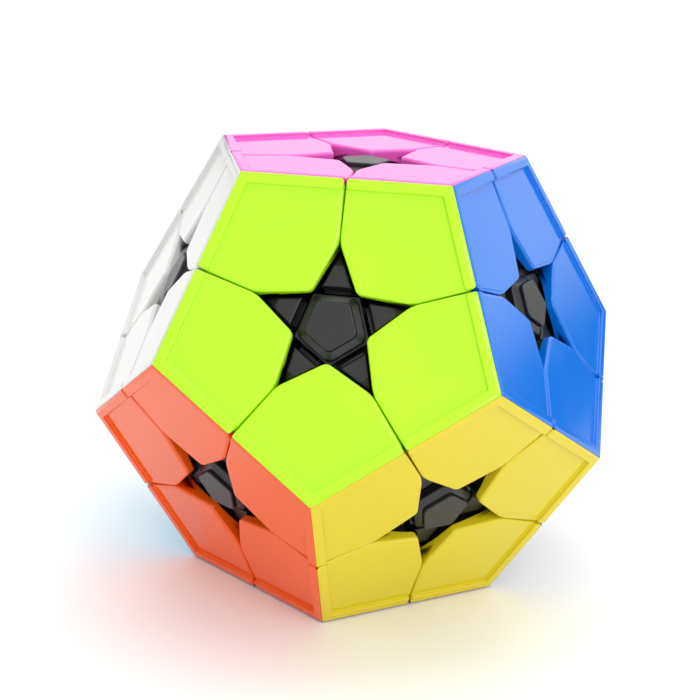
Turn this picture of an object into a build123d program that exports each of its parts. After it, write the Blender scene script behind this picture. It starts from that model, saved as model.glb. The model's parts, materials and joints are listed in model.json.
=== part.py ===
from build123d import *
from collections import defaultdict
from itertools import combinations
from math import atan, cos, degrees, pi, radians, sin, sqrt, tan
import os

# A dodecahedral twisting puzzle with a star-shaped opening in each face. Twelve layers turn about
# axes through a fixed core, one layer to a face: five three-coloured corners, five black edges that
# hide under them, and one black centre that is held down by a sprung screw.
# Millimetres and degrees. The origin is the middle of the core and +Z leaves through the top face.

# Outside of the solid
FACE_TO_FACE = 71.0          # between opposite faces, over the raised rims
RIDGE_ROUND = 1.2            # radius along the twelve-sided solid's own edges
RIM_WIDTH = 1.8              # raised rim along those edges
RIM_HEIGHT = 0.6             # the rim's height over the field that it frames
RIM_FOOT_ROUND = 0.2         # radius in the rim's inner corner

# Star-shaped opening, measured from the middle of a face
STAR_POINT = 11.7            # out to each point, towards the middle of an edge
STAR_NOTCH = 5.6             # out to each notch, towards a corner
TIP_ROUND = 1.2              # radius on the coloured tip in each notch
SEAM_AT_RIDGE = 0.15         # half of the seam at the solid's edge
SEAM_AT_STAR = 0.74          # half of the seam at the star's point: it widens so that layers clear
PARTING_GAP = 0.05           # between the three coloured shells of one corner
SHELL_DEPTH = 2.6            # from a rim's top to the black frame behind it
SHELL_FIT = 0.1              # clearance over the frame's head inside the shells
HEAD_ANGLE = 18.7            # from the corner's direction to each of the head's six sides
HEAD_PLAY = 0.3              # degrees kept free round it
HOLLOW_FLOOR = 28.0          # the head and neck are moulded hollow down to here
HOLLOW_ANGLE = 15.0          # from the corner's direction to the hollow's six sides

# The mechanism is a stack of spherical storeys. In each storey everything that turns with a layer
# lies inside a cone about the layer's axis, and everything else lies outside it.
FOOT_FLOOR = 15.6
FOOT_ROOF = 20.6
WING_FLOOR = 21.0
WING_ROOF = 26.0
NECK_FLOOR = 26.3
NECK_ROOF = 33.7
HEAD_FLOOR = 33.6
SHELL_FLOOR = 34.0           # underside of the coloured shells
CAP_ROOM_ROOF = 34.75        # up to here the shells leave room for the next faces' caps
FOOT_CONE = 53.0             # half-angles of the cones in the three storeys
WING_CONE = 46.0
NECK_CONE = 54.0
CONE_PLAY = 0.35             # degrees kept free on each side of a cone
SHELL_CONE = 57.3            # the shells stay inside this one beside the caps
OPEN_CONE = 80.0             # wider than any shell reaches

# Edge pieces
EDGE_ROOF = 31.0             # radius of the edge's back, under the shells
FIN_ROOT = 22.0              # the fin starts inside the wings, and there it is a little shorter
FIN_STEP = 1.0
EDGE_TIP_BASE = 5.9          # the triangular tip's base, from the middle of the face
EDGE_TIP_END = 11.4          # and its point
EDGE_TIP_HALF = 2.4          # half of its base
EDGE_TIP_TOP = 32.4          # height of its flat top over the core's middle
EDGE_TIP_FLAT_END = 9.2      # from here the top slopes down to the point
EDGE_TIP_SLOPE = 25.0        # degrees
EDGE_TIP_FOOT = 28.0
EDGE_TIP_ROUND = 0.35

# Centres, caps, screws and springs, by height over the core's middle
CENTRE_SKIRT_RADIUS = 2.6
FLANGE_ROOF = 24.3
FLANGE_ANGLE = 16.8          # half-angle of the five-sided flange, to the middle of a side
COLUMN_ANGLE = 8.45          # the same for the column over it
COLUMN_ROOF = 31.9
SPRING_SEAT = 21.6
BORE_RADIUS = 2.75
SHANK_HOLE = 1.65
CAP_ROOF = 34.4
CAP_SHOULDER = 32.95         # the skirt slopes up from here to the foot of the crown
CAP_CROWN_FOOT = 33.6
CAP_SIDE = 4.5               # from the cap's axis to the middle of a side
CAP_CROWN_SIDE = 3.42
CAP_CORNER_ROUND = 0.9
CAP_TOP_ROUND = 0.2
CAP_PLUG_RADIUS = 2.65
CAP_PLUG_FOOT = 30.0
CAP_SEAT_GAP = 0.05
SCREW_RADIUS = 1.5
SCREW_TIP = 9.0
SCREW_HEAD_FOOT = 27.5
SCREW_HEAD_ROOF = 29.2
SCREW_HEAD_RADIUS = 2.4
DRIVE_WIDTH = 0.6            # cross recess in the screw's head
DRIVE_LENGTH = 2.8
DRIVE_DEPTH = 0.9
WASHER_THICKNESS = 0.5
WASHER_RADIUS = 2.6
WASHER_HOLE = 1.6
SPRING_RADIUS = 2.2          # to the middle of the wire
SPRING_WIRE = 0.5
SPRING_TURNS = 4.5
SPRING_FREE = 0.06           # left at each end of the spring

# Core
BALL_RADIUS = 10.0
POST_RADIUS = 2.5
POST_ROOF = 15.2
PILOT_RADIUS = 1.52
PILOT_FLOOR = 8.5

FAR = 60.0                   # further out than any piece reaches

HALF = FACE_TO_FACE / 2
FACE_ANGLE = degrees(atan(2))                # between two faces that share an edge
FAR_FACE_ANGLE = 90 - FACE_ANGLE / 2         # from an edge's middle to the faces past its ends
EDGE_LENGTH = 2 * HALF / sqrt(2.5 + 1.1 * sqrt(5))
FACE_INRADIUS = EDGE_LENGTH / (2 * tan(pi / 5))
FACE_CIRCUMRADIUS = EDGE_LENGTH / (2 * sin(pi / 5))

# Each face's name, colour, and the azimuth and polar angle of its axis
UPPER = FACE_ANGLE
LOWER = 180 - FACE_ANGLE
FACES = {
    "top": ("pink", 0, 0),
    "front": ("green", -90, UPPER),
    "upper_right": ("blue", -18, UPPER),
    "rear_right": ("red", 54, UPPER),
    "rear_left": ("cream", 126, UPPER),
    "upper_left": ("white", 198, UPPER),
    "lower_right": ("yellow", -54, LOWER),
    "right": ("grey", 18, LOWER),
    "rear": ("dark_green", 90, LOWER),
    "left": ("light_blue", 162, LOWER),
    "lower_left": ("orange", 234, LOWER),
    "base": ("purple", 0, 180),
}
TURNING = ("front", "base", "rear_right")    # no two of these share a corner


def direction(azimuth, polar):
    """The unit vector at an azimuth from +X and a polar angle from +Z."""
    a, p = radians(azimuth), radians(polar)
    return Vector(sin(p) * cos(a), sin(p) * sin(a), cos(p))


ON_FLOOR = (Align.CENTER, Align.CENTER, Align.MIN)
AXES = {name: direction(azimuth, polar) for name, (_, azimuth, polar) in FACES.items()}
UP = Vector(0, 0, 1)


def seat(normal, towards):
    """The place of a piece that was made about +Z with its +X side towards a direction."""
    flat = towards - normal * towards.dot(normal)
    return Plane(origin=(0, 0, 0), x_dir=flat, z_dir=normal).location


def about(axis, solid):
    """A solid of revolution about +Z, turned onto another axis."""
    return Plane(origin=(0, 0, 0), z_dir=axis).location * solid


def polar_point(radius, angle):
    """A point of the XZ plane, by its distance from the origin and its angle from +Z."""
    return Vector(radius * sin(radians(angle)), 0, radius * cos(radians(angle)))


def storeys(*levels):
    """A stack of spherical sectors about +Z. Each level is its floor, roof and half-angle."""
    lines = []
    for floor, roof, angle in levels:
        lines.append(Line(polar_point(floor, angle), polar_point(roof, angle)))
    for (_, roof, angle), (_, _, other) in zip(levels, levels[1:]):
        middle = polar_point(roof, (angle + other) / 2)
        lines.append(ThreePointArc(polar_point(roof, angle), middle, polar_point(roof, other)))
    for radius, angle in ((levels[0][0], levels[0][2]), (levels[-1][1], levels[-1][2])):
        middle = polar_point(radius, angle / 2)
        lines.append(ThreePointArc(polar_point(radius, 0), middle, polar_point(radius, angle)))
    lines.append(Line(polar_point(levels[0][0], 0), polar_point(levels[-1][1], 0)))
    return revolve(make_face(lines), Axis.Z)


def keep_inside(solid, normal, distance):
    """Cut away what lies further than a distance from the origin along a normal."""
    return split(solid, Plane(origin=normal * distance, z_dir=normal), keep=Keep.BOTTOM)


def common(first, *others):
    """The volume that several solids share."""
    for other in others:
        first = first & other
    return first


def tapered_pentagon(floor, roof, angle):
    """A five-sided frustum about +Z whose sides run towards the origin, a corner towards +X."""
    sketch = RegularPolygon(floor * tan(radians(angle)), 5, major_radius=False)
    return Pos(0, 0, floor) * extrude(sketch, roof - floor, taper=-angle)


# The three faces of a corner, seen from its first face: +Z, with the corner itself towards +X
CORNER_FACES = (UP, direction(36, FACE_ANGLE), direction(-36, FACE_ANGLE))
CORNER = (CORNER_FACES[0] + CORNER_FACES[1] + CORNER_FACES[2]).normalized()


def corner_blank():
    """The outside of one corner of the solid: three rounded faces that meet at a point."""
    block = Pos(FAR / 2, 0, FAR / 2) * Box(FAR, FAR * 2, FAR)
    for normal in CORNER_FACES:
        block = keep_inside(block, normal, HALF)
    tip = Vector(FACE_CIRCUMRADIUS, 0, HALF)
    ridges = [edge for edge in block.edges() if edge.distance_to(tip) < 0.01]
    return fillet(ridges, RIDGE_ROUND)


def seam_normal(side):
    """The outward normal of a shell's seam wall and the wall's distance from the origin."""
    ridge_end = Vector(FACE_INRADIUS, -SEAM_AT_RIDGE, 0)
    star_end = Vector(STAR_POINT, -SEAM_AT_STAR, 0)
    run = (ridge_end - star_end).normalized()
    normal = Vector(-run.Y, run.X, 0)
    normal = normal.rotate(Axis.Z, 36)
    distance = ridge_end.rotate(Axis.Z, 36).dot(normal)
    return Vector(normal.X, side * normal.Y, 0), distance


def star_normal(side):
    """The outward normal of a shell's wall along the star and the wall's distance."""
    tip = Vector(STAR_NOTCH, 0, 0)
    point = Vector(STAR_POINT, -SEAM_AT_STAR, 0).rotate(Axis.Z, 36)
    run = (point - tip).normalized()
    normal = Vector(-run.Y, side * run.X, 0)
    return normal, tip.dot(normal)


def rim_pocket():
    """The space over a shell's field: it stops at the rim along two edges of the face."""
    reach = FACE_INRADIUS - RIM_WIDTH
    outline = RegularPolygon(reach, 5, major_radius=False)
    pocket = extrude(outline, 2 * RIM_HEIGHT)
    pocket = fillet(pocket.faces().sort_by(Axis.Z)[0].edges(), RIM_FOOT_ROUND)
    return Pos(0, 0, HALF - RIM_HEIGHT) * pocket


def head_pyramid(angle, depth):
    """A six-sided pyramid from the core's middle out to a depth under a corner's three faces."""
    block = Pos(FAR / 2, 0, FAR / 2) * Box(FAR, FAR * 2, FAR)
    for normal in CORNER_FACES:
        block = keep_inside(block, normal, HALF - depth)
    across = (UP - CORNER * UP.dot(CORNER)).normalized()
    outward = across * cos(radians(angle)) - CORNER * sin(radians(angle))
    for side in range(6):
        block = keep_inside(block, outward.rotate(Axis((0, 0, 0), CORNER), 60 * side), 0)
    return block


def corner_shell():
    """One coloured shell of a corner: one kite of its face with the side walls behind it."""
    shell = corner_blank()
    for face in CORNER_FACES[1:]:
        parting = (face - UP).normalized()
        shell = keep_inside(shell, parting, -PARTING_GAP / 2)
    for side in (1, -1):
        shell = keep_inside(shell, *seam_normal(side))
        shell = keep_inside(shell, *star_normal(side))
    tip = shell.edges().filter_by(Axis.Z).sort_by(Axis.X)[0]
    shell = fillet([tip], TIP_ROUND)
    shell -= Sphere(SHELL_FLOOR)
    shell -= rim_pocket()
    room = storeys((HEAD_FLOOR, CAP_ROOM_ROOF, SHELL_CONE), (CAP_ROOM_ROOF, FAR, OPEN_CONE))
    shell = common(shell, *[about(normal, room) for normal in CORNER_FACES])
    return shell - head_pyramid(HEAD_ANGLE + HEAD_PLAY, SHELL_DEPTH)


def layer_room(play):
    """Where the pieces of one layer lie, about +Z, with the cones narrowed by the play."""
    return storeys(
        (FOOT_FLOOR, FOOT_ROOF, FOOT_CONE - play),
        (FOOT_ROOF, NECK_FLOOR, WING_CONE - play),
        (NECK_FLOOR, NECK_ROOF, NECK_CONE - play),
    )


def corner_frame():
    """The black frame of a corner: a head in the shells, a neck, a stalk and a foot."""
    room = layer_room(CONE_PLAY)
    frame = common(*[about(normal, room) for normal in CORNER_FACES])
    depth = SHELL_DEPTH + SHELL_FIT
    frame += head_pyramid(HEAD_ANGLE, depth) - Sphere(HEAD_FLOOR)
    hollow = head_pyramid(HOLLOW_ANGLE, 0)
    return frame - split(hollow, Plane(CORNER * HOLLOW_FLOOR, z_dir=CORNER), keep=Keep.TOP)


def edge_tip():
    """The triangular tip that an edge shows in the star of its first face."""
    base = (EDGE_TIP_BASE, -EDGE_TIP_HALF), (EDGE_TIP_BASE, EDGE_TIP_HALF)
    outline = make_face(Polyline(*base, (EDGE_TIP_END, 0), close=True))
    tip = Pos(0, 0, EDGE_TIP_FOOT) * extrude(outline, EDGE_TIP_TOP - EDGE_TIP_FOOT)
    slope = Vector(sin(radians(EDGE_TIP_SLOPE)), 0, cos(radians(EDGE_TIP_SLOPE)))
    bend = Vector(EDGE_TIP_FLAT_END, 0, EDGE_TIP_TOP)
    tip = keep_inside(tip, slope, bend.dot(slope))
    tops = [face for face in tip.faces() if face.normal_at().Z > 0.5]
    return fillet([edge for face in tops for edge in face.edges()], EDGE_TIP_ROUND)


def edge_storey(half_width, *levels):
    """The room inside the layers of an edge's two faces, cut to a wedge along the edge."""
    first, second = UP, direction(0, FACE_ANGLE)
    block = about(first, storeys(*levels)) & about(second, storeys(*levels))
    outward = (first + second).normalized()
    for side in (1, -1):
        across = Vector(0, side * cos(radians(half_width)), 0)
        block = keep_inside(block, across - outward * sin(radians(half_width)), 0)
    return block


def edge_piece():
    """A black edge between two faces: wings that hold it, a fin, and a tip in each star."""
    wing, neck = WING_CONE - CONE_PLAY, NECK_CONE - CONE_PLAY
    wing_width = FAR_FACE_ANGLE - WING_CONE - CONE_PLAY
    fin_width = FAR_FACE_ANGLE - NECK_CONE - CONE_PLAY
    edge = edge_storey(wing_width, (WING_FLOOR, WING_ROOF, wing))
    root = (FIN_ROOT, NECK_FLOOR, wing - FIN_STEP)
    edge += edge_storey(fin_width, root, (NECK_FLOOR, EDGE_ROOF, neck))
    tip = edge_tip()
    return edge + tip + seat(direction(0, FACE_ANGLE), UP) * tip


def centre_body():
    """A black centre: a sleeve, the flange that holds the corners' feet, and a column."""
    sleeve = Pos(0, 0, FOOT_FLOOR) * Cylinder(
        CENTRE_SKIRT_RADIUS, SPRING_SEAT - FOOT_FLOOR, align=ON_FLOOR)
    body = sleeve + tapered_pentagon(WING_FLOOR, FLANGE_ROOF, FLANGE_ANGLE)
    body += tapered_pentagon(SPRING_SEAT, COLUMN_ROOF, COLUMN_ANGLE)
    body -= Cylinder(SHANK_HOLE, FAR, align=ON_FLOOR)
    return body - Pos(0, 0, SPRING_SEAT) * Cylinder(BORE_RADIUS, FAR, align=ON_FLOOR)


def centre_cap():
    """The bevelled five-sided cap that plugs a centre's bore."""
    foot = COLUMN_ROOF + CAP_SEAT_GAP
    outline = RegularPolygon(CAP_SIDE, 5, major_radius=False)
    outline = fillet(outline.vertices(), CAP_CORNER_ROUND)
    skirt = Pos(0, 0, foot) * extrude(outline, CAP_CROWN_FOOT - foot)
    slope = Vector(CAP_CROWN_FOOT - CAP_SHOULDER, 0, CAP_SIDE - CAP_CROWN_SIDE).normalized()
    distance = Vector(CAP_SIDE, 0, CAP_SHOULDER).dot(slope)
    for side in range(5):
        skirt = keep_inside(skirt, slope.rotate(Axis.Z, 36 + 72 * side), distance)
    crown = scale(outline, CAP_CROWN_SIDE / CAP_SIDE)
    crown = Pos(0, 0, foot) * extrude(crown, CAP_ROOF - foot)
    crown = fillet(crown.faces().sort_by(Axis.Z)[-1].edges(), CAP_TOP_ROUND)
    plug = Cylinder(CAP_PLUG_RADIUS, foot - CAP_PLUG_FOOT, align=ON_FLOOR)
    return skirt + crown + Pos(0, 0, CAP_PLUG_FOOT) * plug


def tension_screw():
    """A screw whose cross recess is reached when the cap is out."""
    shank = Cylinder(SCREW_RADIUS, SCREW_HEAD_FOOT - SCREW_TIP, align=ON_FLOOR)
    head = Cylinder(SCREW_HEAD_RADIUS, SCREW_HEAD_ROOF - SCREW_HEAD_FOOT, align=ON_FLOOR)
    screw = Pos(0, 0, SCREW_TIP) * shank + Pos(0, 0, SCREW_HEAD_FOOT) * head
    for width, length in ((DRIVE_WIDTH, DRIVE_LENGTH), (DRIVE_LENGTH, DRIVE_WIDTH)):
        screw -= Pos(0, 0, SCREW_HEAD_ROOF) * Box(width, length, 2 * DRIVE_DEPTH)
    return screw


def washer():
    """The washer that turns between a spring and its screw's head."""
    ring = Circle(WASHER_RADIUS) - Circle(WASHER_HOLE)
    return Pos(0, 0, SCREW_HEAD_FOOT - WASHER_THICKNESS) * extrude(ring, WASHER_THICKNESS)


def tension_spring():
    """The coil spring that presses a centre down onto its layer."""
    room = SCREW_HEAD_FOOT - WASHER_THICKNESS - SPRING_SEAT - 2 * SPRING_FREE
    rise = room - SPRING_WIRE
    coil = Helix(rise / SPRING_TURNS, rise, SPRING_RADIUS)
    section = Plane(coil @ 0, z_dir=coil % 0) * Circle(SPRING_WIRE / 2)
    floor = SPRING_SEAT + SPRING_FREE + SPRING_WIRE / 2
    return Pos(0, 0, floor) * sweep(section, path=coil, is_frenet=True)


def core():
    """The core: a ball with a threaded post towards each face."""
    body = Sphere(BALL_RADIUS)
    for axis in AXES.values():
        body += about(axis, Cylinder(POST_RADIUS, POST_ROOF, align=ON_FLOOR))
    hole = Pos(0, 0, PILOT_FLOOR) * Cylinder(PILOT_RADIUS, POST_ROOF, align=ON_FLOOR)
    for axis in AXES.values():
        body -= about(axis, hole)
    return body


def adjacent(*names):
    """Whether every two of the named faces share an edge."""
    touching = cos(radians(FACE_ANGLE)) - 0.01
    return all(AXES[a].dot(AXES[b]) > touching for a, b in combinations(names, 2))


def layer_of(*names):
    """The turning layer that holds a piece, or the side that stays with the core."""
    return next((name for name in TURNING if name in names), "fixed")


def place_corners(nodes):
    """Twenty corners, each a black frame with three coloured shells."""
    shell, frame = corner_shell(), corner_frame()
    for names in combinations(FACES, 3):
        if not adjacent(*names):
            continue
        layer = layer_of(*names)
        tip = AXES[names[0]] + AXES[names[1]] + AXES[names[2]]
        nodes[f"{layer}_corner_frames"].append(seat(AXES[names[0]], tip) * frame)
        for name in names:
            colour = FACES[name][0]
            nodes[f"{layer}_{colour}_shells"].append(seat(AXES[name], tip) * shell)


def place_edges(nodes):
    """Thirty edges."""
    edge = edge_piece()
    for first, second in combinations(FACES, 2):
        if adjacent(first, second):
            node = f"{layer_of(first, second)}_edges"
            nodes[node].append(seat(AXES[first], AXES[second]) * edge)


def place_centres(nodes):
    """Twelve centres with their caps, screws, washers and springs."""
    body, cap = centre_body(), centre_cap()
    screw, ring, spring = tension_screw(), washer(), tension_spring()
    for name, axis in AXES.items():
        neighbours = [AXES[other] for other in FACES if other != name and adjacent(name, other)]
        corner = next(axis + a + b for a, b in combinations(neighbours, 2) if a.dot(b) > 0)
        place = seat(axis, corner)
        nodes[f"{layer_of(name)}_centres"].append(place * body)
        nodes[f"{name}_cap"].append(place * cap)
        nodes["tension_screws"].append(place * screw)
        nodes["washers"].append(place * ring)
        nodes["tension_springs"].append(place * spring)


def main():
    nodes = defaultdict(list)
    nodes["core"].append(core())
    place_corners(nodes)
    place_edges(nodes)
    place_centres(nodes)
    os.makedirs("parts", exist_ok=True)
    for name, solids in nodes.items():
        export_step(Compound(label=name, children=solids), f"parts/{name}.step")


main()
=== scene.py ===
"""A dodecahedral twisting puzzle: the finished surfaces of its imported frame, and its studio."""

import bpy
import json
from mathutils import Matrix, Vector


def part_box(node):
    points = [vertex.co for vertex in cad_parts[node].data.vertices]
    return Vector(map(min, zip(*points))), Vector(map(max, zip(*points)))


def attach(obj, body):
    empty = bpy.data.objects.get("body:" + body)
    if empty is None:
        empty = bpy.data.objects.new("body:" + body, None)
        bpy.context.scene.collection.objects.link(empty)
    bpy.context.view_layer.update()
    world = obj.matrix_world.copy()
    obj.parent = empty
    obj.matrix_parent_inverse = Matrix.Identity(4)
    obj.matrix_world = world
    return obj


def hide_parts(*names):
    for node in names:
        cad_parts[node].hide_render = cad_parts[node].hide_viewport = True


bl_info = {
    "name": "Twisting Dodecahedron",
    "version": (1, 0, 0),
    "blender": (4, 5, 0),
    "location": "3D View > Sidebar > Puzzle",
    "description": "Models the coloured shells, caps and finishes of a twelve-sided puzzle",
    "category": "Object",
}

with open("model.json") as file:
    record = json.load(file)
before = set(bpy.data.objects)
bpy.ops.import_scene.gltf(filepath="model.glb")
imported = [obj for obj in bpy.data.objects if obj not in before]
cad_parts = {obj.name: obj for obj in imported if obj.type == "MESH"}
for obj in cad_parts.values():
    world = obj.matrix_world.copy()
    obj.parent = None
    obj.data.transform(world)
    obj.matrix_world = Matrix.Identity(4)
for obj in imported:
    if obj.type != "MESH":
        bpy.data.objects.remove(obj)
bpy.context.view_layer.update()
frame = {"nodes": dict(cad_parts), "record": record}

from itertools import combinations
import json
from math import atan, cos, pi, radians, sin, sqrt, tan

import bmesh
import bpy
from bpy.props import FloatProperty, FloatVectorProperty, PointerProperty
from mathutils import Matrix, Vector

BODY_OF = {
    node: body for body, nodes in frame["record"]["behaviour"]["bodies"].items() for node in nodes
}

# The solid. Pieces are shaped in millimetres about the middle of the core and placed in metres.
MM = 0.001
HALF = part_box("base_purple_shells")[0][2] / -MM
FACE_ANGLE = atan(2)                                 # between two faces that share an edge
EDGE_LENGTH = 2 * HALF / sqrt(2.5 + 1.1 * sqrt(5))
FACE_INRADIUS = EDGE_LENGTH / (2 * tan(pi / 5))
SHARED = radians(36)                                 # half of a face's turn from corner to corner
SHELL_FLOOR = 34.05                                  # the shells' underside is a sphere
CAP_ROOM_ROOF = 34.8                                 # top of the room cut for turning caps
CAP_ROOM_ANGLE = radians(57.3)                       # its edge, from each other face's axis
SHELL_DEPTH = 2.6                                    # down to the black head inside a corner
HEAD_ANGLE = radians(19.0)                           # and its six sides, from the corner's axis
PLUG = 1.95                                          # height of a cap's plug
PARTING = 0.025                                      # half of the joint between two colours
FAR = 60.0                                           # further out than any piece reaches
TOUCH = 1e-3                                         # closer than this is on a plane
WELD = 1e-5                                          # a cut joins points closer than this
UPRIGHT = 0.3                                        # a wall's normal has less than this of Z
LEVEL = 0.9                                          # and a top's or underside's more than this
CORNER_STEPS = 6                                     # facets round a corner seen from above
SHOULDER_STEPS = 4                                   # round a shell's top edge
CROWN_STEPS = 3                                      # round a cap's edge
RIDGE_STEPS = 5                                      # on a shell's half of a ridge
BALL_STEPS = 96                                      # round a sphere or a cone
SHELL_CREASE = radians(30)                           # sharper edges than this stay sharp
CAP_CREASE = radians(25)
PLUG_SIDE = 2.3                                      # from a plug's axis to the middle of a side
CAP_EDGE_SHARES = (0.8, 0.3, 1)                      # of the edge radius: shoulder, foot, roof

# Each face's name, colour, and the azimuth and polar angle of its axis in degrees
UPPER = 63.4349488
LOWER = 180 - UPPER
FACES = {
    "top": ("pink", 0, 0),
    "front": ("green", -90, UPPER),
    "upper_right": ("blue", -18, UPPER),
    "rear_right": ("red", 54, UPPER),
    "rear_left": ("cream", 126, UPPER),
    "upper_left": ("white", 198, UPPER),
    "lower_right": ("yellow", -54, LOWER),
    "right": ("grey", 18, LOWER),
    "rear": ("dark_green", 90, LOWER),
    "left": ("light_blue", 162, LOWER),
    "lower_left": ("orange", 234, LOWER),
    "base": ("purple", 0, 180),
}
TURNING = ("front", "base", "rear_right")


def direction(azimuth, polar):
    """The unit vector at an azimuth from +X and a polar angle from +Z, in radians."""
    return Vector((sin(polar) * cos(azimuth), sin(polar) * sin(azimuth), cos(polar)))


AXES = {
    name: direction(radians(azimuth), radians(polar))
    for name, (_, azimuth, polar) in FACES.items()
}


def linear(code):
    """An sRGB hex colour as the linear colour that the shaders take."""
    parts = [int(code[i:i + 2], 16) / 255 for i in (1, 3, 5)]
    return tuple(c / 12.92 if c <= 0.04045 else ((c + 0.055) / 1.055) ** 2.4 for c in parts)


def length(name, description, default):
    """A size that the panel shows as a length. The default is in millimetres."""
    return FloatProperty(
        name=name, description=description, default=default * MM, min=0, unit="LENGTH",
        precision=5)


def pigment(name, description, code):
    """A colour that the panel shows as a swatch."""
    return FloatVectorProperty(
        name=name, description=description, default=linear(code), min=0, max=1,
        subtype="COLOR")


# Settings

class ShellSizes(bpy.types.PropertyGroup):
    rim_width: length("Rim width", "Raised rim along the solid's edges", 1.8)
    rim_height: length("Rim height", "Height of the rim over the field", 0.6)
    rim_round: length("Rim edge", "Radius of the rim's inner edge and foot", 0.2)
    ridge_round: length("Ridge", "Radius along the solid's edges", 1.2)
    star_point: length("Star point", "From the middle of a face to a point of its star", 11.9)
    star_notch: length("Star notch", "From the middle of a face to a coloured tip", 5.7)
    tip_round: length("Tip radius", "Radius of the coloured tip in each notch", 1.3)
    point_round: length("Star point radius", "Radius of each shell at a star's point", 4.0)
    seam: length("Seam", "Gap between two shells of a face", 0.34)
    shoulder: length("Shoulder", "Radius of the shells' top edges", 0.5)
    draft: FloatProperty(
        name="Draft", description="Lean of the walls in the seams", default=radians(10),
        subtype="ANGLE")


class CapSizes(bpy.types.PropertyGroup):
    side: length("Side", "From the cap's axis to the middle of a side", 4.5)
    crown_side: length("Crown side", "The same on the raised crown", 3.42)
    corner_round: length("Corner radius", "Radius of the five corners", 1.3)
    shoulder: length("Shoulder height", "From the core's middle to the skirt's slope", 32.95)
    crown_foot: length("Crown foot", "From the core's middle to the crown's foot", 33.6)
    roof: length("Roof height", "From the core's middle to the flat top", 34.4)
    edge_round: length("Edge radius", "Radius along the crown's edge", 0.25)


class Pigments(bpy.types.PropertyGroup):
    pink: pigment("Pink", "Top face", "#f060c4")
    green: pigment("Lime green", "Front face", "#b6f214")
    blue: pigment("Blue", "Upper right face", "#0670d8")
    white: pigment("White", "Upper left face", "#dededc")
    yellow: pigment("Yellow", "Lower right face", "#dcc81c")
    orange: pigment("Orange", "Lower left face", "#f05a0a")
    red: pigment("Red", "Rear right face", "#c8141c")
    cream: pigment("Cream", "Rear left face", "#ece0b4")
    grey: pigment("Grey", "Right face", "#8e9296")
    dark_green: pigment("Dark green", "Rear face", "#0c7a3c")
    light_blue: pigment("Light blue", "Left face", "#68c4ea")
    purple: pigment("Purple", "Base", "#5e2a96")
    black: pigment("Black", "Caps, edges and frames", "#1a1a1b")
    core: pigment("Core", "Hidden core and its posts", "#d9d6cc")


class StudioSettings(bpy.types.PropertyGroup):
    floor: pigment("Floor", "Pale card under the puzzle", "#f6f6f6")
    sky: FloatProperty(
        name="Surroundings", description="Brightness of the white walls and ceiling",
        default=1.05, min=0)
    horizon: FloatProperty(
        name="Horizon", description="Brightness of the dark band around the floor",
        default=0.03, min=0)
    key: FloatProperty(
        name="Key light", description="Power of the large light in front", default=1.2,
        min=0, unit="POWER")
    ceiling: FloatProperty(
        name="Ceiling light", description="Power of the wide panel over the floor", default=9.0,
        min=0, unit="POWER")


# Modelling by hand, one step at a time

def start():
    """Leaves nothing selected, as every new piece needs."""
    if bpy.context.object and bpy.context.object.mode != "OBJECT":
        bpy.ops.object.mode_set(mode="OBJECT")
    bpy.ops.object.select_all(action="DESELECT")


def begin_edit():
    """The active piece in edit mode, with its own place and size made part of its mesh."""
    bpy.ops.object.transform_apply(location=True, rotation=True, scale=True)
    bpy.ops.object.mode_set(mode="EDIT")


def end_edit():
    """The active piece out of edit mode."""
    bpy.ops.object.mode_set(mode="OBJECT")
    return bpy.context.object


def pick(kind, test):
    """Selects the points, edges or faces that pass a test."""
    bpy.ops.mesh.select_mode(type=kind)
    bpy.ops.mesh.select_all(action="DESELECT")
    mesh = bmesh.from_edit_mesh(bpy.context.object.data)
    every = {"VERT": mesh.verts, "EDGE": mesh.edges, "FACE": mesh.faces}[kind]
    parts = [part for part in every if test(part)]
    for part in parts:
        part.select_set(True)
    bmesh.update_edit_mesh(bpy.context.object.data)
    if not parts:
        raise RuntimeError("nothing to shape: no point, edge or face passes the test")


def cut(normal, distance):
    """Cuts off what lies beyond a plane and closes the piece there."""
    bpy.ops.mesh.select_all(action="SELECT")
    bpy.ops.mesh.bisect(
        plane_co=normal * distance, plane_no=normal, use_fill=True, clear_outer=True,
        threshold=WELD)


def score(normal, distance):
    """Draws a plane's line across the selected faces only."""
    bpy.ops.mesh.bisect(plane_co=normal * distance, plane_no=normal, threshold=WELD)


def on_plane(part, normal, distance):
    """Whether a face or edge lies in a plane."""
    return all(abs(vertex.co.dot(normal) - distance) < TOUCH for vertex in part.verts)


def finish_with(piece, kind, **settings):
    """Adds a modifier to a piece and applies it."""
    start()
    piece.select_set(True)
    bpy.context.view_layer.objects.active = piece
    modifier = piece.modifiers.new(kind.title(), kind)
    for name, value in settings.items():
        setattr(modifier, name, value)
    bpy.ops.object.modifier_apply(modifier=modifier.name)


def carve(piece, cutter):
    """Takes the cutter's volume out of a piece, and the cutter away."""
    finish_with(piece, "BOOLEAN", operation="DIFFERENCE", object=cutter, solver="EXACT")
    bpy.data.objects.remove(cutter)


def seat(normal, towards):
    """Turns a piece made about +Z, its +X side towards a direction, to its place in metres."""
    across = (towards - normal * towards.dot(normal)).normalized()
    turn = Matrix((across, normal.cross(across), normal)).transposed()
    return turn.to_4x4() @ Matrix.Scale(MM, 4)


def place(name, master, seats):
    """Copies of a master at their places, made one piece."""
    start()
    for matrix in seats:
        copy = bpy.data.objects.new(name, master.data.copy())
        copy.data.transform(matrix)
        bpy.context.collection.objects.link(copy)
        copy.select_set(True)
        bpy.context.view_layer.objects.active = copy
    if len(seats) > 1:
        bpy.ops.object.join()
    piece = bpy.context.object
    piece.name = name
    piece.data.name = name
    return piece


def soften(piece, angle):
    """Smooth shading over bevels and flat shading over flats."""
    start()
    piece.select_set(True)
    bpy.context.view_layer.objects.active = piece
    bpy.ops.object.shade_smooth_by_angle(angle=angle)
    finish_with(piece, "WEIGHTED_NORMAL", weight=80, keep_sharp=True)


# The coloured shells

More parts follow.
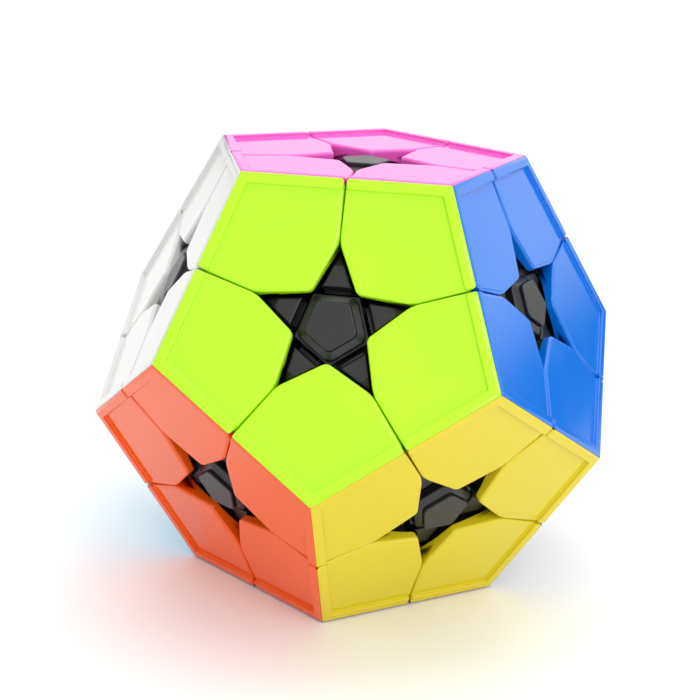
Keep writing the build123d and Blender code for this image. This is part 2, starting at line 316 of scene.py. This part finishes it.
UP = Vector((0, 0, 1))
RIDGES = tuple(direction(side * SHARED, pi / 2) for side in (1, -1))
CORNER_FACES = (UP,) + tuple(direction(side * SHARED, FACE_ANGLE) for side in (1, -1))
CORNER = sum(CORNER_FACES, Vector()).normalized()
PARTINGS = tuple((face - UP).normalized() for face in CORNER_FACES[1:])


def seam_wall(sizes, side):
    """Normal and distance of a shell's wall in a seam, which leans inwards below the field."""
    outward = direction(side * (SHARED + pi / 2), pi / 2)
    normal = outward * cos(sizes.draft) + UP * sin(sizes.draft)
    at_field = UP * (HALF - sizes.rim_height / MM) - outward * (sizes.seam / MM / 2)
    return normal, at_field.dot(normal)


def star_wall(sizes, side):
    """Normal and distance of a shell's wall along the star."""
    tip = Vector((sizes.star_notch / MM, 0, 0))
    point = direction(side * SHARED, pi / 2) * (sizes.star_point / MM)
    point -= direction(side * (SHARED + pi / 2), pi / 2) * (sizes.seam / MM / 2)
    run = (point - tip).normalized()
    normal = Vector((-abs(run.y), side * abs(run.x), 0))
    return normal, tip.dot(normal)


def shell_block(sizes):
    """One kite of a face as a block up to its field."""
    start()
    field = HALF - sizes.rim_height / MM
    bpy.ops.mesh.primitive_cube_add(
        size=1, location=(FAR / 2, 0, field / 2), scale=(FAR, FAR * 2, field))
    begin_edit()
    for parting in PARTINGS:
        cut(parting, -PARTING)
    for side in (1, -1):
        cut(*seam_wall(sizes, side))
        cut(*star_wall(sizes, side))


def raise_rim(sizes):
    """The rim along the solid's two edges, up to the face's full height."""
    height = sizes.rim_height / MM
    field = HALF - height
    reach = FACE_INRADIUS - sizes.rim_width / MM
    for ridge in RIDGES:
        pick("FACE", lambda face: on_plane(face, UP, field))
        score(ridge, reach)
    pick("FACE", lambda face: on_plane(face, UP, field)
         and any(face.calc_center_median().dot(ridge) > reach for ridge in RIDGES))
    bpy.ops.mesh.extrude_region_move(TRANSFORM_OT_translate={"value": (0, 0, height)})
    # The rim's outer line moves out until it meets the parting planes again
    gap = PARTING / cos(FACE_ANGLE / 2)
    old = FACE_INRADIUS * field / HALF - gap
    pick("VERT", lambda vertex: abs(vertex.co.z - HALF) < TOUCH
         and any(vertex.co.dot(ridge) > old - TOUCH for ridge in RIDGES))
    lean = (FACE_INRADIUS - gap) / old
    bpy.ops.transform.resize(value=(lean, lean, 1), center_override=(0, 0, HALF))
    bpy.ops.mesh.select_all(action="SELECT")
    bpy.ops.mesh.dissolve_limited(angle_limit=radians(0.5))


def round_walls(walls, sizes):
    """The upright corners: the coloured tip, and the two ends at the star's points."""
    seams, stars = walls[:2], walls[2:]
    for pairs, radius in (
            ([stars], sizes.tip_round), (list(zip(seams, stars)), sizes.point_round)):
        pick("EDGE", lambda edge: any(
            on_plane(edge, *first) and on_plane(edge, *second) for first, second in pairs))
        turn = pairs[0][0][0].angle(pairs[0][1][0])
        bpy.ops.mesh.bevel(
            offset_type="OFFSET", offset=radius / MM * tan(turn / 2), segments=CORNER_STEPS,
            affect="EDGES", clamp_overlap=False)


def round_tops(sizes):
    """The soft shoulders along the seams and the star, and the rim's own edges."""
    reach = FACE_INRADIUS - sizes.rim_width / MM

    def kind(face):
        if any(on_plane(face, ridge, reach) for ridge in RIDGES):
            return "rim wall"
        if any(on_plane(face, parting, -PARTING) for parting in PARTINGS):
            return "parting"
        if abs(face.normal.z) < UPRIGHT:
            return "wall"
        return "top" if face.normal.z > 0 else "bottom"

    pairs = (
        (sizes.shoulder, ({"wall", "top"}, {"wall", "rim wall"}, {"wall", "parting"})),
        (sizes.rim_round, ({"rim wall", "top"},)),
    )
    piece = bpy.context.object
    for radius, kinds in pairs:
        pick("EDGE", lambda edge: {kind(face) for face in edge.link_faces} in kinds)
        bpy.ops.transform.edge_bevelweight(value=radius / sizes.shoulder)
    end_edit()
    finish_with(
        piece, "BEVEL", width=sizes.shoulder / MM, segments=SHOULDER_STEPS, limit_method="WEIGHT",
        use_clamp_overlap=False)
    bpy.ops.object.mode_set(mode="EDIT")


def round_ridges(sizes):
    """The solid's own edges as a fan of narrow facets, and its corner."""
    radius = sizes.ridge_round / MM
    for face in CORNER_FACES[1:]:
        middle = (UP + face) * ((HALF - radius) / (1 + UP.dot(face)))
        for step in range(RIDGE_STEPS):
            tilt = FACE_ANGLE / 2 * (step + 0.5) / RIDGE_STEPS
            normal = (UP * sin(FACE_ANGLE - tilt) + face * sin(tilt)) / sin(FACE_ANGLE)
            cut(normal, normal.dot(middle) + radius)
    cut(CORNER, (HALF - radius) / CORNER.z + radius)


def add_cone(sides, angle, depth):
    """A cone or pyramid that opens upwards from the core's middle."""
    start()
    radius = depth * tan(angle) / cos(pi / sides)
    bpy.ops.mesh.primitive_cone_add(
        vertices=sides, radius1=0, radius2=radius, depth=depth, location=(0, 0, depth / 2))
    begin_edit()
    return end_edit()


def add_ball(radius):
    """A sphere about the core's middle."""
    start()
    bpy.ops.mesh.primitive_uv_sphere_add(
        segments=BALL_STEPS, ring_count=BALL_STEPS // 2, radius=radius)
    return bpy.context.object


def turn_to(piece, axis):
    """Turns a piece's own +Z to an axis of the corner, its +X side towards the face."""
    across = (UP - axis * axis.dot(UP)).normalized()
    piece.data.transform(Matrix((across, axis.cross(across), axis)).transposed().to_4x4())


def hollow_out(shell):
    """The shell's underside: a sphere, room for the caps, and a pocket for the black head."""
    carve(shell, add_ball(SHELL_FLOOR))
    for face in CORNER_FACES[1:]:
        outside = add_ball(CAP_ROOM_ROOF)
        carve(outside, add_cone(BALL_STEPS, CAP_ROOM_ANGLE, FAR))
        turn_to(outside, face)
        carve(shell, outside)
    head = add_cone(6, HEAD_ANGLE, FAR)
    turn_to(head, CORNER)
    start()
    head.select_set(True)
    bpy.context.view_layer.objects.active = head
    bpy.ops.object.mode_set(mode="EDIT")
    for face in CORNER_FACES:
        cut(face, HALF - SHELL_DEPTH)
    carve(shell, end_edit())


def shell_master(sizes):
    """One coloured shell, about +Z with its corner towards +X."""
    walls = [seam_wall(sizes, 1), seam_wall(sizes, -1), star_wall(sizes, 1), star_wall(sizes, -1)]
    shell_block(sizes)
    raise_rim(sizes)
    round_walls(walls, sizes)
    round_tops(sizes)
    round_ridges(sizes)
    shell = end_edit()
    hollow_out(shell)
    return shell


def layer_of(*names):
    """The turning layer that holds a piece, or the side that stays with the core."""
    return next((name for name in TURNING if name in names), "fixed")


def corners():
    """The three faces that meet at each of the twenty corners."""
    touching = cos(FACE_ANGLE) - 0.01
    for names in combinations(FACES, 3):
        if all(AXES[a].dot(AXES[b]) > touching for a, b in combinations(names, 2)):
            yield names


def stand_for(piece, node, material):
    """A finished piece takes over from a CAD node: its body and its finish."""
    piece.data.materials.clear()
    piece.data.materials.append(material)
    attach(piece, BODY_OF[node])
    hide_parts(node)


class PUZZLE_OT_shells(bpy.types.Operator):
    """Models one coloured shell and seats its sixty copies on the corners"""

    bl_idname = "puzzle.shells"
    bl_label = "Coloured Shells"

    def execute(self, context):
        scene = context.scene
        master = shell_master(scene.puzzle_shells)
        seats = {}
        for names in corners():
            tip = AXES[names[0]] + AXES[names[1]] + AXES[names[2]]
            for name in names:
                key = layer_of(*names), FACES[name][0]
                seats.setdefault(key, []).append(seat(AXES[name], tip))
        materials = {}
        for (layer, colour), places in seats.items():
            if colour not in materials:
                materials[colour] = shell_plastic(colour, getattr(scene.puzzle_pigments, colour))
            node = f"{layer}_{colour}_shells"
            piece = place(f"{node}_moulded", master, places)
            soften(piece, SHELL_CREASE)
            stand_for(piece, node, materials[colour])
        bpy.data.objects.remove(master)
        return {"FINISHED"}


# The caps

def cap_master(sizes):
    """A five-sided cap, a corner towards +X: a sloping skirt, a flat crown and a plug."""
    start()
    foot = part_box("top_cap")[0][2] / MM
    under = foot + PLUG
    heights = [sizes.shoulder / MM, sizes.crown_foot / MM, sizes.roof / MM]

    def lies_at(edge, height):
        return all(abs(vertex.co.z - height) < TOUCH for vertex in edge.verts)

    bpy.ops.mesh.primitive_cylinder_add(
        vertices=5, radius=sizes.side / MM / cos(pi / 5), depth=heights[0] - under,
        location=(0, 0, (heights[0] + under) / 2), rotation=(0, 0, -pi / 2))
    begin_edit()
    pick("EDGE", lambda edge: abs(edge.verts[0].co.z - edge.verts[1].co.z) > TOUCH)
    bpy.ops.mesh.bevel(
        offset=sizes.corner_round / MM * tan(pi / 5), segments=CORNER_STEPS, affect="EDGES",
        clamp_overlap=False)
    pick("FACE", lambda face: face.normal.z > LEVEL)
    for low, high, narrow in zip(heights, heights[1:], (sizes.crown_side / sizes.side, 1)):
        bpy.ops.mesh.extrude_region_move(TRANSFORM_OT_translate={"value": (0, 0, high - low)})
        bpy.ops.transform.resize(value=(narrow, narrow, 1), center_override=(0, 0, high))
    for height, share in zip(heights, CAP_EDGE_SHARES):
        pick("EDGE", lambda edge: lies_at(edge, height))
        bpy.ops.mesh.bevel(
            offset=sizes.edge_round / MM * share, segments=CROWN_STEPS, affect="EDGES",
            clamp_overlap=False)
    pick("FACE", lambda face: face.normal.z < -LEVEL)
    bpy.ops.mesh.inset(thickness=sizes.side / MM - PLUG_SIDE)
    bpy.ops.mesh.extrude_region_move(TRANSFORM_OT_translate={"value": (0, 0, -PLUG)})
    return end_edit()


class PUZZLE_OT_caps(bpy.types.Operator):
    """Models one cap and seats a copy over each centre's screw"""

    bl_idname = "puzzle.caps"
    bl_label = "Centre Caps"

    def execute(self, context):
        scene = context.scene
        master = cap_master(scene.puzzle_caps)
        material = cap_plastic(scene.puzzle_pigments.black)
        for name in FACES:
            tip = next(corner for corner in corners() if name in corner)
            towards = AXES[tip[0]] + AXES[tip[1]] + AXES[tip[2]]
            piece = place(f"{name}_cap_moulded", master, [seat(AXES[name], towards)])
            soften(piece, CAP_CREASE)
            stand_for(piece, f"{name}_cap", material)
        bpy.data.objects.remove(master)
        return {"FINISHED"}


# Finishes

def add_node(tree, kind, inputs=(), **settings):
    """Adds a shader node with its settings; an input is a value, or a socket to link."""
    node = tree.nodes.new(kind)
    for name, value in settings.items():
        setattr(node, name, value)
    for name, value in dict(inputs).items():
        if isinstance(value, bpy.types.NodeSocket):
            tree.links.new(value, node.inputs[name])
        else:
            node.inputs[name].default_value = value
    return node


def new_material(name):
    """An empty material, with the coordinates of the piece it is on."""
    material = bpy.data.materials.new(name)
    material.use_nodes = True
    tree = material.node_tree
    tree.nodes.clear()
    return material, tree, add_node(tree, "ShaderNodeTexCoord").outputs["Object"]


def per_mm(size):
    """The scale of a noise whose lumps are a size in millimetres."""
    return 1 / (size * MM)


def finish_material(tree, **inputs):
    """The plastic or metal itself, on the surface."""
    names = {name.replace("_", " "): value for name, value in inputs.items()}
    shader = add_node(tree, "ShaderNodeBsdfPrincipled", names)
    add_node(tree, "ShaderNodeOutputMaterial", {"Surface": shader.outputs["BSDF"]})


def shell_plastic(name, colour):
    """Injection-moulded ABS, coloured through: a polished mould leaves it glossy, and hands
    leave a faint haze on it."""
    material, tree, place_on = new_material(f"moulded_abs_{name}")
    haze = add_node(tree, "ShaderNodeTexNoise", {
        "Vector": place_on, "Scale": per_mm(9), "Detail": 3, "Roughness": 0.6})
    gloss = add_node(tree, "ShaderNodeMapRange", {
        "Value": haze.outputs["Fac"], "From Min": 0.35, "From Max": 0.7, "To Min": 0.1,
        "To Max": 0.14})
    # Pigment settles unevenly as the mould fills, which shows as slow, faint clouds
    cloud = add_node(tree, "ShaderNodeTexNoise", {
        "Vector": place_on, "Scale": per_mm(14), "Detail": 2})
    shade = add_node(tree, "ShaderNodeMapRange", {
        "Value": cloud.outputs["Fac"], "From Min": 0.3, "From Max": 0.7, "To Min": 0.985,
        "To Max": 1.015})
    tint = add_node(tree, "ShaderNodeHueSaturation", {
        "Color": (*colour, 1), "Value": shade.outputs["Result"]})
    # The mould's polishing marks, drawn coarse enough to show
    grain = add_node(tree, "ShaderNodeTexNoise", {
        "Vector": place_on, "Scale": per_mm(0.7), "Detail": 2})
    bump = add_node(tree, "ShaderNodeBump", {
        "Height": grain.outputs["Fac"], "Strength": 0.03, "Distance": 0.02 * MM})
    finish_material(
        tree, Base_Color=tint.outputs["Color"], Roughness=gloss.outputs["Result"], IOR=1.54,
        Normal=bump.outputs["Normal"])
    return material


def plain_plastic(name, colour, grain_size, smooth, rough):
    """Moulded plastic of the mechanism, with a grain of a size and a range of roughness."""
    material, tree, place_on = new_material(name)
    # Handling and the mould's flow leave some spots duller and greyer than others
    wear = add_node(tree, "ShaderNodeTexNoise", {
        "Vector": place_on, "Scale": per_mm(5), "Detail": 4, "Roughness": 0.65})
    gloss = add_node(tree, "ShaderNodeMapRange", {
        "Value": wear.outputs["Fac"], "From Min": 0.35, "From Max": 0.7, "To Min": smooth,
        "To Max": rough})
    shade = add_node(tree, "ShaderNodeMapRange", {
        "Value": wear.outputs["Fac"], "From Min": 0.3, "From Max": 0.75, "To Min": 0.8,
        "To Max": 1.5})
    tint = add_node(tree, "ShaderNodeHueSaturation", {
        "Color": (*colour, 1), "Value": shade.outputs["Result"]})
    # The grain of the mould breaks up the shine
    grain = add_node(tree, "ShaderNodeTexNoise", {
        "Vector": place_on, "Scale": per_mm(grain_size), "Detail": 3})
    bump = add_node(tree, "ShaderNodeBump", {
        "Height": grain.outputs["Fac"], "Strength": 0.3, "Distance": 0.02 * MM})
    finish_material(
        tree, Base_Color=tint.outputs["Color"], Roughness=gloss.outputs["Result"], IOR=1.54,
        Normal=bump.outputs["Normal"])
    return material


def cap_plastic(colour):
    """Black ABS of the caps, as even as a handled part is, and shinier than the frames."""
    return plain_plastic("moulded_abs_black_gloss", colour, 0.6, 0.3, 0.36)


def frame_plastic(colour):
    """Satin black ABS as it leaves the mould, with a fine grain that softens its shine."""
    return plain_plastic("moulded_abs_black_satin", colour, 0.35, 0.3, 0.5)


def core_plastic(colour):
    """Unpainted nylon: waxy, a little uneven in tone, with a soft shine."""
    return plain_plastic("moulded_nylon", colour, 0.5, 0.4, 0.55)


def steel(name, code, smooth, rough, grain_size):
    """Bare or plated steel, bright where it is smooth and dull along its working marks."""
    material, tree, place_on = new_material(name)
    marks = add_node(tree, "ShaderNodeTexNoise", {
        "Vector": place_on, "Scale": per_mm(grain_size), "Detail": 4})
    gloss = add_node(tree, "ShaderNodeMapRange", {
        "Value": marks.outputs["Fac"], "To Min": smooth, "To Max": rough})
    shade = add_node(tree, "ShaderNodeMapRange", {
        "Value": marks.outputs["Fac"], "To Min": 0.85, "To Max": 1.1})
    tint = add_node(tree, "ShaderNodeHueSaturation", {
        "Color": (*linear(code), 1), "Value": shade.outputs["Result"]})
    finish_material(
        tree, Base_Color=tint.outputs["Color"], Metallic=1.0,
        Roughness=gloss.outputs["Result"])
    return material


def pale_card(colour):
    """Uncoated card of the floor: matt, with a faint mottle."""
    material, tree, place_on = new_material("pale_card")
    mottle = add_node(tree, "ShaderNodeTexNoise", {
        "Vector": place_on, "Scale": per_mm(40), "Detail": 4})
    shade = add_node(tree, "ShaderNodeMapRange", {
        "Value": mottle.outputs["Fac"], "To Min": 0.985, "To Max": 1.0})
    tint = add_node(tree, "ShaderNodeHueSaturation", {
        "Color": (*colour, 1), "Value": shade.outputs["Result"]})
    finish_material(tree, Base_Color=tint.outputs["Color"], Roughness=0.9)
    return material


class PUZZLE_OT_mechanism(bpy.types.Operator):
    """Gives the frames, edges, centres, core and hardware their finishes"""

    bl_idname = "puzzle.mechanism"
    bl_label = "Mechanism Finishes"

    def execute(self, context):
        pigments = context.scene.puzzle_pigments
        satin = frame_plastic(pigments.black)
        # Zinc leaves the screws pale and slightly cloudy; spring wire is drawn and darker
        zinc = steel("zinc_plated_steel", "#c4c8cc", 0.25, 0.45, 0.8)
        wire = steel("drawn_spring_steel", "#9a9a9c", 0.2, 0.4, 0.3)
        finishes = {
            "core": core_plastic(pigments.core),
            "tension_screws": zinc,
            "washers": zinc,
            "tension_springs": wire,
        }
        for layer in TURNING + ("fixed",):
            for piece in ("corner_frames", "edges", "centres"):
                finishes[f"{layer}_{piece}"] = satin
        for name, material in finishes.items():
            slots = frame["nodes"][name].data.materials
            slots.clear()
            slots.append(material)
        return {"FINISHED"}


# The studio

EYE = Vector((29.34, -228.82, 75.85)) * MM
GAZE = Vector((-0.12562, 0.94381, -0.30568)).normalized()
ROLL = radians(2.56)
LENS = 73.62
SENSOR = 36
FLOOR_RADIUS = 3.0
KEY_AT = Vector((0.3, -0.5, 0.38))
KEY_SIZE = 0.4
CEILING_AT = Vector((0.0, 0.5, 1.5))
CEILING_SIZE = 1.5
BAND = radians(2.5), radians(5.5)                    # the horizon's band fades between these
LEFT_WALL = 0.7                                      # brightness beside the right wall's
BACK_WALL = 1.2                                      # and beside the front wall's


def add_camera():
    """The camera, a little above and in front."""
    start()
    bpy.ops.object.camera_add(location=EYE)
    camera = bpy.context.object
    level = GAZE.to_track_quat("-Z", "Y").to_matrix()
    turned = level @ Matrix.Rotation(ROLL, 3, "Z")
    camera.rotation_euler = turned.to_euler()
    camera.data.lens = LENS
    camera.data.sensor_width = SENSOR
    camera.data.clip_start = 0.01
    bpy.context.scene.camera = camera


def add_softbox(name, place_at, aim, size, power):
    """A soft square light that points at a place."""
    start()
    turn = (aim - place_at).to_track_quat("-Z", "Y").to_euler()
    bpy.ops.object.light_add(type="AREA", location=place_at, rotation=turn)
    light = bpy.context.object
    light.name = name
    light.data.size = size
    light.data.energy = power


def white_room(studio):
    """White walls and ceiling over a dark band, which shades the glossy faces downwards."""
    world = bpy.data.worlds.new("white_room")
    world.use_nodes = True
    tree = world.node_tree
    outward = add_node(tree, "ShaderNodeTexCoord").outputs["Generated"]
    height = add_node(tree, "ShaderNodeSeparateXYZ", {"Vector": outward})
    # The left wall is dimmer and the back wall brighter, which sets the faces apart
    side = add_node(tree, "ShaderNodeMapRange", {
        "Value": height.outputs["X"], "From Min": -1, "From Max": 0.2,
        "To Min": studio.sky * LEFT_WALL, "To Max": studio.sky})
    back = add_node(tree, "ShaderNodeMapRange", {
        "Value": height.outputs["Y"], "From Min": 0, "From Max": 0.8, "To Min": 1,
        "To Max": BACK_WALL})
    wall = add_node(tree, "ShaderNodeMath", {
        0: side.outputs["Result"], 1: back.outputs["Result"]}, operation="MULTIPLY")
    glow = add_node(tree, "ShaderNodeMapRange", {
        "Value": height.outputs["Z"], "From Min": sin(BAND[0]), "From Max": sin(BAND[1]),
        "To Min": studio.horizon, "To Max": wall.outputs[0]})
    # The camera sees the backdrop as plain white
    path = add_node(tree, "ShaderNodeLightPath")
    seen = add_node(tree, "ShaderNodeMapRange", {
        "Value": path.outputs["Is Camera Ray"], "To Min": glow.outputs["Result"], "To Max": 1})
    tree.links.new(seen.outputs["Result"], tree.nodes["Background"].inputs["Strength"])
    tree.nodes["Background"].inputs["Color"].default_value = (1, 1, 1, 1)
    return world


class PUZZLE_OT_stage(bpy.types.Operator):
    """Adds the pale floor, the soft lights and the camera"""

    bl_idname = "puzzle.stage"
    bl_label = "Studio"

    def execute(self, context):
        studio = context.scene.puzzle_studio
        start()
        bpy.ops.mesh.primitive_circle_add(
            vertices=BALL_STEPS, radius=FLOOR_RADIUS, fill_type="NGON",
            location=(0, 0, -HALF * MM))
        floor = context.object
        floor.name = "floor"
        begin_edit()
        end_edit()
        floor.data.materials.append(pale_card(studio.floor))

        context.scene.world = white_room(studio)
        add_softbox("key", KEY_AT, Vector(), KEY_SIZE, studio.key)
        below = Vector((CEILING_AT.x, CEILING_AT.y, 0))
        add_softbox("ceiling", CEILING_AT, below, CEILING_SIZE, studio.ceiling)
        add_camera()
        context.scene.view_settings.view_transform = "Standard"
        return {"FINISHED"}


class PUZZLE_PT_panel(bpy.types.Panel):
    """The puzzle's sizes, colours and steps"""

    bl_idname = "PUZZLE_PT_panel"
    bl_label = "Twisting Dodecahedron"
    bl_space_type = "VIEW_3D"
    bl_region_type = "UI"
    bl_category = "Puzzle"

    def draw(self, context):
        scene = context.scene
        for name, group, operator in STEPS:
            box = self.layout.box()
            box.label(text=name)
            settings = getattr(scene, group)
            for prop in settings.bl_rna.properties:
                if prop.identifier not in ("rna_type", "name"):
                    box.prop(settings, prop.identifier)
            box.operator(operator)


STEPS = (
    ("Shells", "puzzle_shells", "puzzle.shells"),
    ("Caps", "puzzle_caps", "puzzle.caps"),
    ("Finishes", "puzzle_pigments", "puzzle.mechanism"),
    ("Studio", "puzzle_studio", "puzzle.stage"),
)
GROUPS = {
    "puzzle_shells": ShellSizes,
    "puzzle_caps": CapSizes,
    "puzzle_pigments": Pigments,
    "puzzle_studio": StudioSettings,
}
CLASSES = (
    *GROUPS.values(), PUZZLE_OT_shells, PUZZLE_OT_caps, PUZZLE_OT_mechanism, PUZZLE_OT_stage,
    PUZZLE_PT_panel,
)


def register():
    for cls in CLASSES:
        bpy.utils.register_class(cls)
    for name, group in GROUPS.items():
        setattr(bpy.types.Scene, name, PointerProperty(type=group))


def unregister():
    for name in GROUPS:
        delattr(bpy.types.Scene, name)
    for cls in reversed(CLASSES):
        bpy.utils.unregister_class(cls)


def main():
    """Runs every step."""
    register()
    bpy.ops.puzzle.shells()
    bpy.ops.puzzle.caps()
    bpy.ops.puzzle.mechanism()
    bpy.ops.puzzle.stage()


if __name__ == "__main__":
    main()
